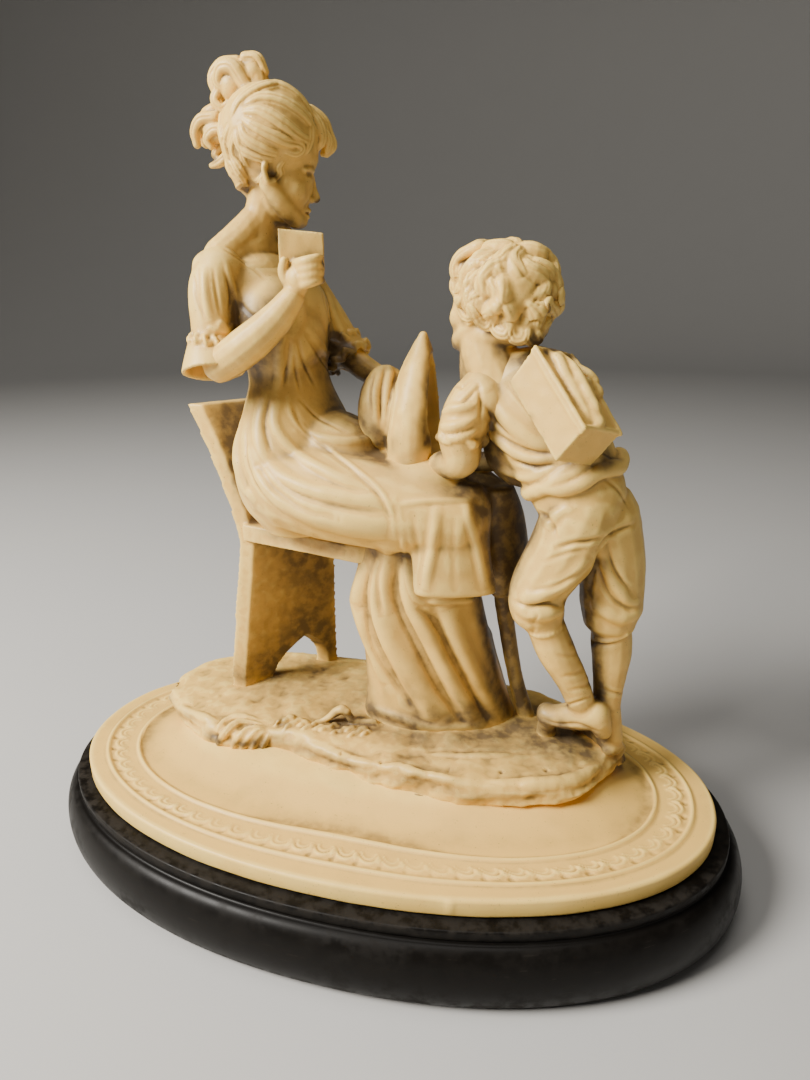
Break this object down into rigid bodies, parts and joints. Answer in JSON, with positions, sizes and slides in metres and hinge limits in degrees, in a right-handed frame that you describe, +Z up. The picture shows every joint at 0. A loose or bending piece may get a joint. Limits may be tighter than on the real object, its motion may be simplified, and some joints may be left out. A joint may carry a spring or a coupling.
{
  "type": "figural statuette",
  "caption": "Cast statuette of a seated woman reading a letter and a child leaning on her lap, on an oval foot and a black turned plinth.",
  "frame": {"origin": "middle of the plinth's underside, which the statuette stands on", "axes": "+Z up, +X along the oval towards the child, -Y towards the side that both figures show"},
  "size_m": [0.2176, 0.1276, 0.2291],
  "materials": {
    "ivory_resin": "aged satin resin with brown patina in the recesses",
    "black_lacquer": "satin black lacquer, dusty and worn at the collar"
  },
  "bodies": {
    "root": {"cast_group": "ivory_resin", "oval_plinth": "black_lacquer"}
  },
  "joints": []
}
